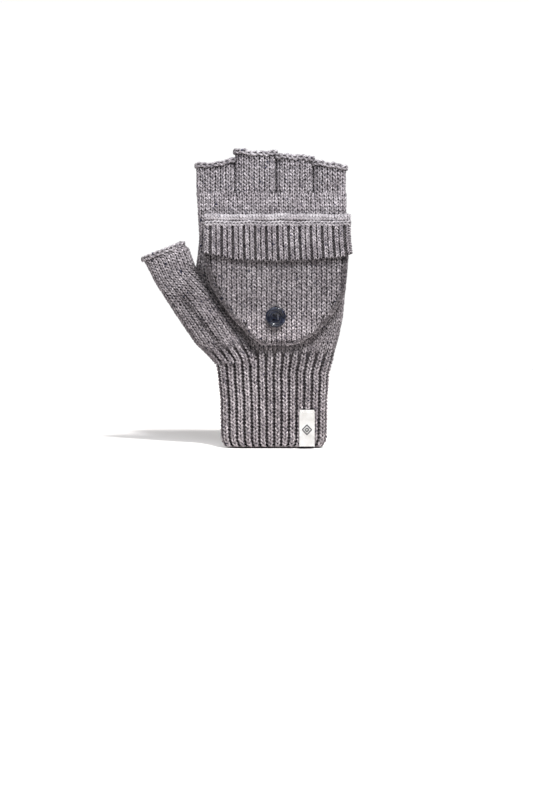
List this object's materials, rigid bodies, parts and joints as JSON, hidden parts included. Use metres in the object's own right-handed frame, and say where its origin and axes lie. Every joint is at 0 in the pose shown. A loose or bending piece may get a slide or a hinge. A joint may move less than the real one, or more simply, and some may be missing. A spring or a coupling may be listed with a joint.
{
  "type": "convertible flip-top mitten",
  "caption": "Fingerless knitted glove with an open thumb, a ribbed cuff and a mitten flap that buttons back on the hand or turns over the fingers.",
  "frame": {"origin": "centre of the wrist opening, at the cuff's lower edge", "axes": "+Z from the wrist to the fingers, -Y out of the back of the hand (the flap's side), +X to the little-finger side"},
  "size_m": [0.1325, 0.0256, 0.1859],
  "materials": {
    "wool_knit": "melange grey wool, stocking stitch and rib",
    "wool_edge": "melange grey wool, cast-off edge",
    "button_resin": "polished resin",
    "dark_thread": "twisted thread",
    "label_tape": "woven tape",
    "label_thread": "sewing thread"
  },
  "bodies": {
    "glove": {"cuff_rib": "wool_knit", "hand_body": "wool_knit", "thumb_tube": "wool_knit", "index_stub": "wool_knit", "middle_stub": "wool_knit", "ring_stub": "wool_knit", "little_stub": "wool_knit", "thumb_hem": "wool_edge", "index_hem": "wool_edge", "middle_hem": "wool_edge", "ring_hem": "wool_edge", "little_hem": "wool_edge", "knuckle_seam": "wool_knit", "button_shank": "dark_thread", "label_tab": "label_tape", "label_stitches": "label_thread"},
    "flap": {"flap_back_layer": "wool_knit"},
    "flap_front": {"flap_front_layer": "wool_knit", "flap_fold_roll": "wool_edge", "buttonhole_edging": "wool_edge"},
    "rib_band": {"flap_rib_band": "wool_knit"},
    "button": {"button": "button_resin", "button_thread": "dark_thread"}
  },
  "joints": [
    {"name": "flap_flip", "type": "hinge", "parent": "glove", "child": "flap", "pos_m": [0, -0.0099, 0.142], "axis": [-1, 0, 0], "range_deg": [0, 180]},
    {"name": "front_spread", "type": "slide", "parent": "flap", "child": "flap_front", "axis": [0, -1, 0], "range_m": [0, 0.0177], "deforming": ["flap_front_layer", "flap_fold_roll", "buttonhole_edging", "flap_rib_band"]},
    {"name": "band_turn", "type": "hinge", "parent": "flap_front", "child": "rib_band", "pos_m": [0, -0.0134, 0.143], "axis": [-1, 0, 0], "range_deg": [0, 175]},
    {"name": "button_tilt", "type": "hinge", "parent": "glove", "child": "button", "pos_m": [0.001, -0.01395, 0.0813], "axis": [1, 0, 0], "range_deg": [-8, 8], "stiffness_Nm_per_rad": 0.0005}
  ],
  "couplings": [
    {"joint": "front_spread", "follows": "flap_flip", "m_per_rad": 0.0056}
  ]
}
